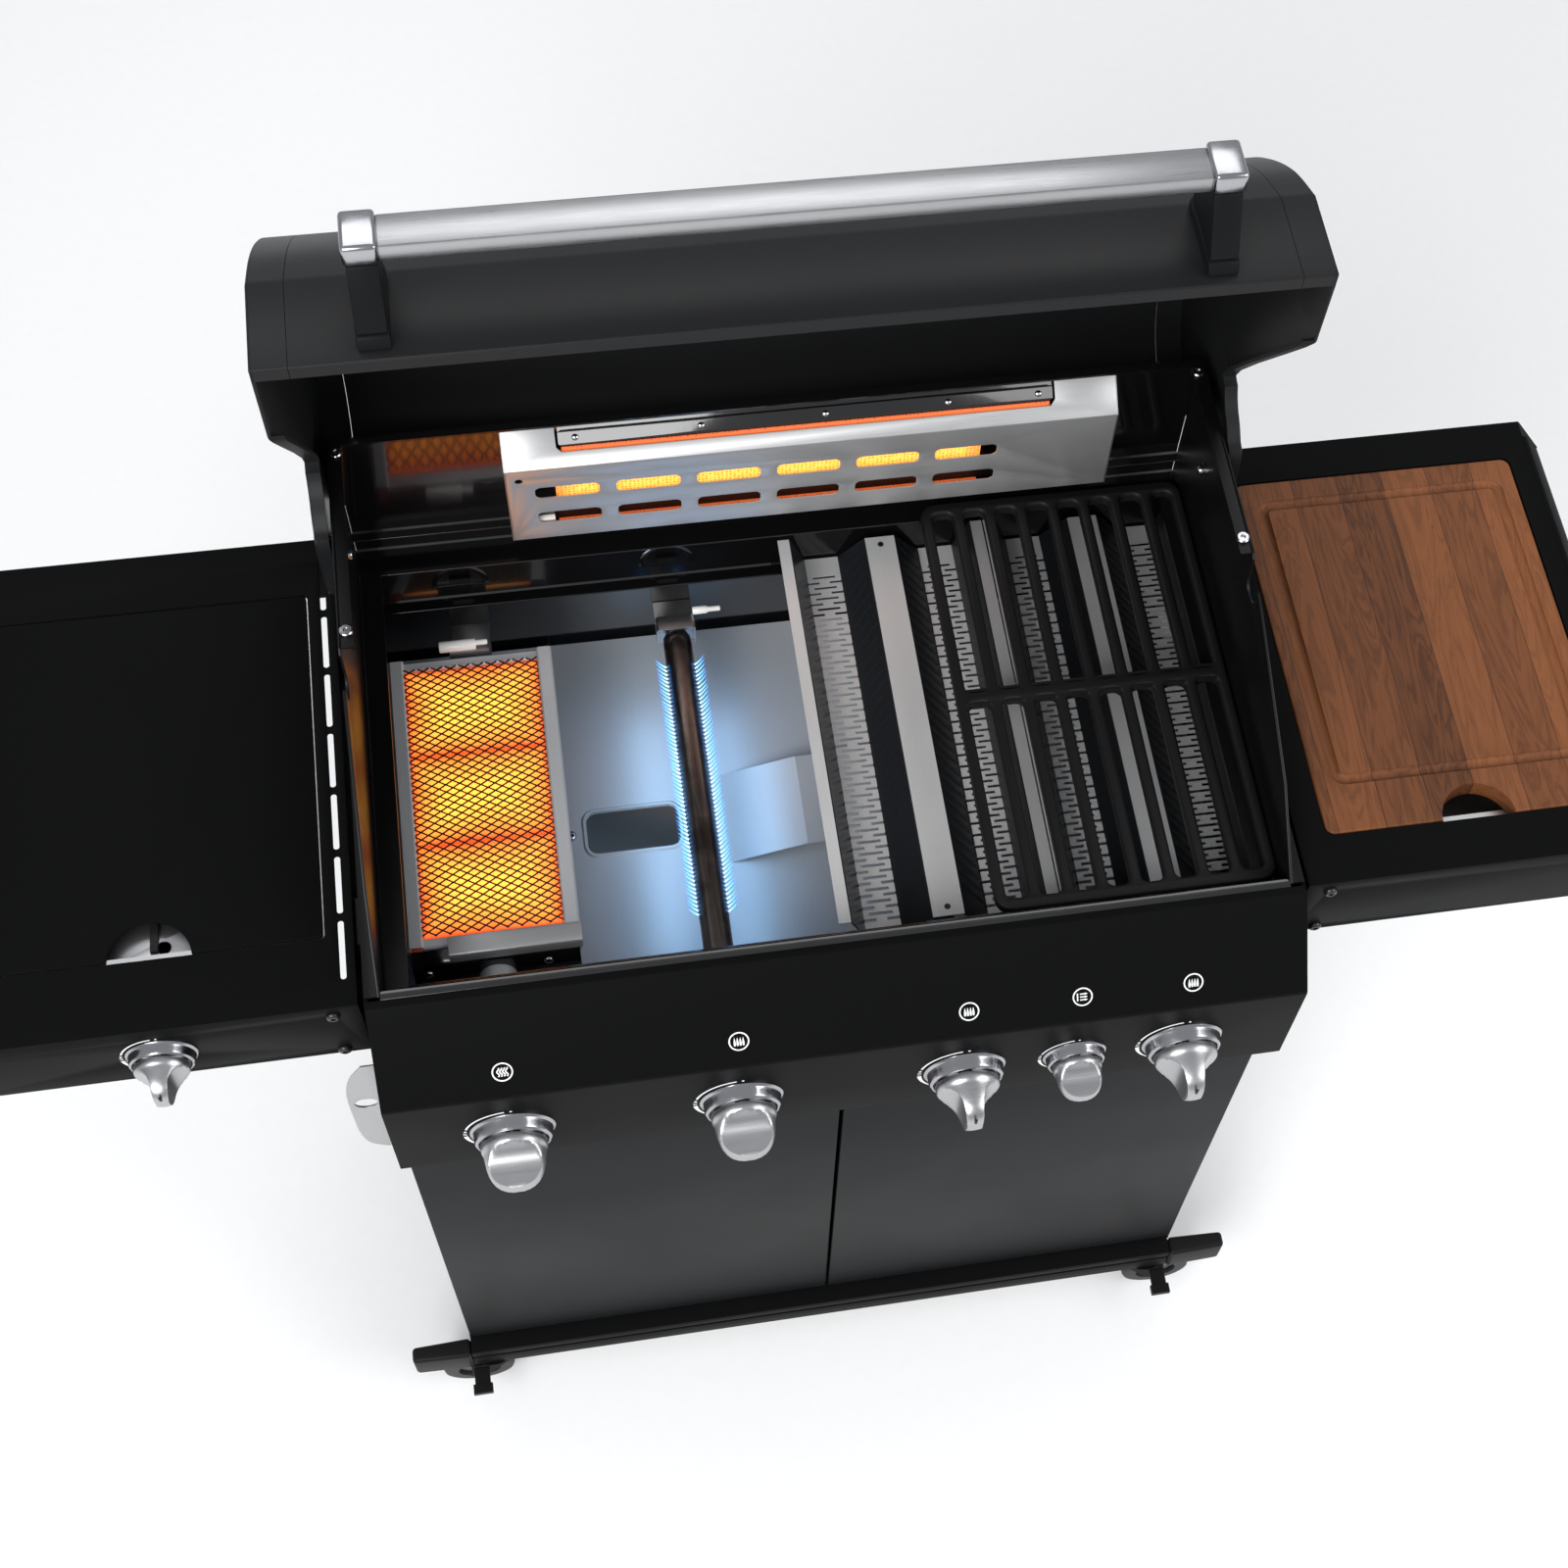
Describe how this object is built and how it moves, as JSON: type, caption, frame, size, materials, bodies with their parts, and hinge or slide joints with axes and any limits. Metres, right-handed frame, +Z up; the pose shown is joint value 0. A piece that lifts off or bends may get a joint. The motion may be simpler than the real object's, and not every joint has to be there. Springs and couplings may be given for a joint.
{
  "type": "gas barbecue grill",
  "caption": "Free-standing gas barbecue with raised lid, infrared and tube burners, back burner, side burner, wooden board, side tables, cabinet and casters.",
  "frame": {"origin": "centre of the overall footprint, on the floor under the wheels", "axes": "+X to the right along the control panel, +Y from the user to the back, +Z up"},
  "size_m": [1.3852, 0.6522, 1.4475],
  "materials": {
    "satin_black": "satin powder coat",
    "door_grey": "satin powder coat, dark grey",
    "black_enamel": "gloss vitreous enamel",
    "cast_iron": "matte enamelled casting",
    "brushed_steel": "brushed stainless steel",
    "dark_steel": "heat-tinted stainless steel",
    "bezel_chrome": "polished chrome",
    "knob_metal": "satin nickel over zinc",
    "glowing_ceramic": "glowing burner ceramic",
    "white_ceramic": "glazed insulator",
    "brass": "machined brass",
    "walnut": "oiled hardwood",
    "black_plastic": "fine-grained plastic",
    "wheel_rubber": "wheel tread and rim"
  },
  "bodies": {
    "root": {"back_burner_ceramics": "glowing_ceramic", "back_burner_housing": "brushed_steel", "base_beams": "satin_black", "bottle_opener": "brushed_steel", "burner_brackets": "brushed_steel", "cabinet_back": "satin_black", "cabinet_floor": "satin_black", "cabinet_side_left": "satin_black", "cabinet_side_right": "satin_black", "control_panel": "satin_black", "corner_bumpers": "black_plastic", "firebox_back_wall": "black_enamel", "firebox_front_wall": "black_enamel", "firebox_side_left": "black_enamel", "firebox_side_right": "black_enamel", "gas_manifold": "brass", "grease_baffle": "brushed_steel", "igniters": "white_ceramic", "infrared_burner_frame": "brushed_steel", "infrared_ceramic_tiles": "glowing_ceramic", "infrared_mesh": "brushed_steel", "knob_bezels": "bezel_chrome", "left_table": "satin_black", "right_table": "satin_black", "side_burner_bowl": "brushed_steel", "side_burner_grid": "cast_iron", "side_burner_head": "brass", "table_fasteners": "brushed_steel", "tube_burners": "dark_steel"},
    "lid": {"lid_shell": "satin_black", "lid_end_cap_left": "satin_black", "lid_end_cap_right": "satin_black", "handle_bar": "brushed_steel", "handle_brackets": "satin_black"},
    "left_door": {"door_left": "door_grey"},
    "right_door": {"door_right": "door_grey"},
    "side_cover": {"side_burner_cover": "satin_black"},
    "pan": {"insert_pan": "brushed_steel"},
    "board": {"cutting_board": "walnut"},
    "grate": {"cooking_grate": "cast_iron"},
    "middle_tamer": {"flame_tamer_middle": "black_enamel"},
    "right_tamer": {"flame_tamer_right": "black_enamel"},
    "tray": {"grease_tray": "brushed_steel"},
    "knob_infrared": {"knob_infrared": "knob_metal"},
    "knob_main_left": {"knob_main_left": "knob_metal"},
    "knob_main_middle": {"knob_main_middle": "knob_metal"},
    "knob_back_burner": {"knob_back_burner": "knob_metal"},
    "knob_main_right": {"knob_main_right": "knob_metal"},
    "knob_side_burner": {"knob_side_burner": "knob_metal"},
    "swivel_front_left": {"caster_fork_front_left": "satin_black"},
    "wheel_front_left": {"caster_wheel_front_left": "wheel_rubber"},
    "swivel_front_right": {"caster_fork_front_right": "satin_black"},
    "wheel_front_right": {"caster_wheel_front_right": "wheel_rubber"},
    "swivel_rear_left": {"caster_fork_rear_left": "satin_black"},
    "wheel_rear_left": {"caster_wheel_rear_left": "wheel_rubber"},
    "swivel_rear_right": {"caster_fork_rear_right": "satin_black"},
    "wheel_rear_right": {"caster_wheel_rear_right": "wheel_rubber"},
    "pedal_left": {"brake_pedal_left": "black_plastic"},
    "pedal_right": {"brake_pedal_right": "black_plastic"}
  },
  "joints": [
    {"name": "lid_hinge", "type": "hinge", "parent": "root", "child": "lid", "pos_m": [0, 0.1544, 1.005], "axis": [1, 0, 0], "range_deg": [0, 83]},
    {"name": "knob_infrared_turn", "type": "hinge", "parent": "root", "child": "knob_infrared", "pos_m": [-0.27375, -0.2976, 0.81], "axis": [0, -1, 0], "range_deg": [-90, 40]},
    {"name": "knob_main_left_turn", "type": "hinge", "parent": "root", "child": "knob_main_left", "pos_m": [-0.09125, -0.2976, 0.81], "axis": [0, -1, 0], "range_deg": [-90, 40]},
    {"name": "knob_main_middle_turn", "type": "hinge", "parent": "root", "child": "knob_main_middle", "pos_m": [0.09125, -0.2976, 0.81], "axis": [0, -1, 0], "range_deg": [0, 130]},
    {"name": "knob_back_burner_turn", "type": "hinge", "parent": "root", "child": "knob_back_burner", "pos_m": [0.183, -0.2976, 0.81], "axis": [0, -1, 0], "range_deg": [-90, 40]},
    {"name": "knob_main_right_turn", "type": "hinge", "parent": "root", "child": "knob_main_right", "pos_m": [0.27375, -0.2976, 0.81], "axis": [0, -1, 0], "range_deg": [0, 130]},
    {"name": "knob_side_burner_turn", "type": "hinge", "parent": "root", "child": "knob_side_burner", "pos_m": [-0.528, -0.2276, 0.889], "axis": [0, -1, 0], "range_deg": [0, 130]},
    {"name": "left_door_hinge", "type": "hinge", "parent": "root", "child": "left_door", "pos_m": [-0.3655, -0.2361, 0.447], "axis": [0, 0, -1], "range_deg": [0, 110]},
    {"name": "right_door_hinge", "type": "hinge", "parent": "root", "child": "right_door", "pos_m": [0.3655, -0.2361, 0.447], "axis": [0, 0, 1], "range_deg": [0, 110]},
    {"name": "side_cover_hinge", "type": "hinge", "parent": "root", "child": "side_cover", "pos_m": [-0.526, 0.164, 0.934], "axis": [-1, 0, 0], "range_deg": [0, 100]},
    {"name": "pan_lift", "type": "slide", "parent": "root", "child": "pan", "axis": [0, 0, 1], "range_m": [0, 0.06]},
    {"name": "board_lift", "type": "slide", "parent": "pan", "child": "board", "axis": [0, 0, 1], "range_m": [0, 0.06]},
    {"name": "grate_lift", "type": "slide", "parent": "root", "child": "grate", "axis": [0, 0, 1], "range_m": [0, 0.018]},
    {"name": "middle_tamer_lift", "type": "slide", "parent": "root", "child": "middle_tamer", "axis": [0, 0, 1], "range_m": [0, 0.018]},
    {"name": "right_tamer_lift", "type": "slide", "parent": "root", "child": "right_tamer", "axis": [0, 0, 1], "range_m": [0, 0.018]},
    {"name": "tray_slide", "type": "slide", "parent": "root", "child": "tray", "axis": [0, 1, 0], "range_m": [0, 0.3]},
    {"name": "swivel_front_left_turn", "type": "hinge", "parent": "root", "child": "swivel_front_left", "pos_m": [-0.35, -0.2336, 0.089], "axis": [0, 0, 1], "continuous": true},
    {"name": "wheel_front_left_roll", "type": "hinge", "parent": "swivel_front_left", "child": "wheel_front_left", "pos_m": [-0.37, -0.2336, 0.0375], "axis": [0, 1, 0], "continuous": true},
    {"name": "swivel_front_right_turn", "type": "hinge", "parent": "root", "child": "swivel_front_right", "pos_m": [0.35, -0.2336, 0.089], "axis": [0, 0, 1], "continuous": true},
    {"name": "wheel_front_right_roll", "type": "hinge", "parent": "swivel_front_right", "child": "wheel_front_right", "pos_m": [0.37, -0.2336, 0.0375], "axis": [0, 1, 0], "continuous": true},
    {"name": "swivel_rear_left_turn", "type": "hinge", "parent": "root", "child": "swivel_rear_left", "pos_m": [-0.35, 0.1674, 0.089], "axis": [0, 0, 1], "continuous": true},
    {"name": "wheel_rear_left_roll", "type": "hinge", "parent": "swivel_rear_left", "child": "wheel_rear_left", "pos_m": [-0.37, 0.1674, 0.0375], "axis": [0, 1, 0], "continuous": true},
    {"name": "swivel_rear_right_turn", "type": "hinge", "parent": "root", "child": "swivel_rear_right", "pos_m": [0.35, 0.1674, 0.089], "axis": [0, 0, 1], "continuous": true},
    {"name": "wheel_rear_right_roll", "type": "hinge", "parent": "swivel_rear_right", "child": "wheel_rear_right", "pos_m": [0.37, 0.1674, 0.0375], "axis": [0, 1, 0], "continuous": true},
    {"name": "pedal_left_press", "type": "hinge", "parent": "swivel_front_left", "child": "pedal_left", "pos_m": [-0.366, -0.2516, 0.0605], "axis": [1, 0, 0], "range_deg": [0, 20]},
    {"name": "pedal_right_press", "type": "hinge", "parent": "swivel_front_right", "child": "pedal_right", "pos_m": [0.366, -0.2516, 0.0605], "axis": [1, 0, 0], "range_deg": [0, 20]}
  ]
}
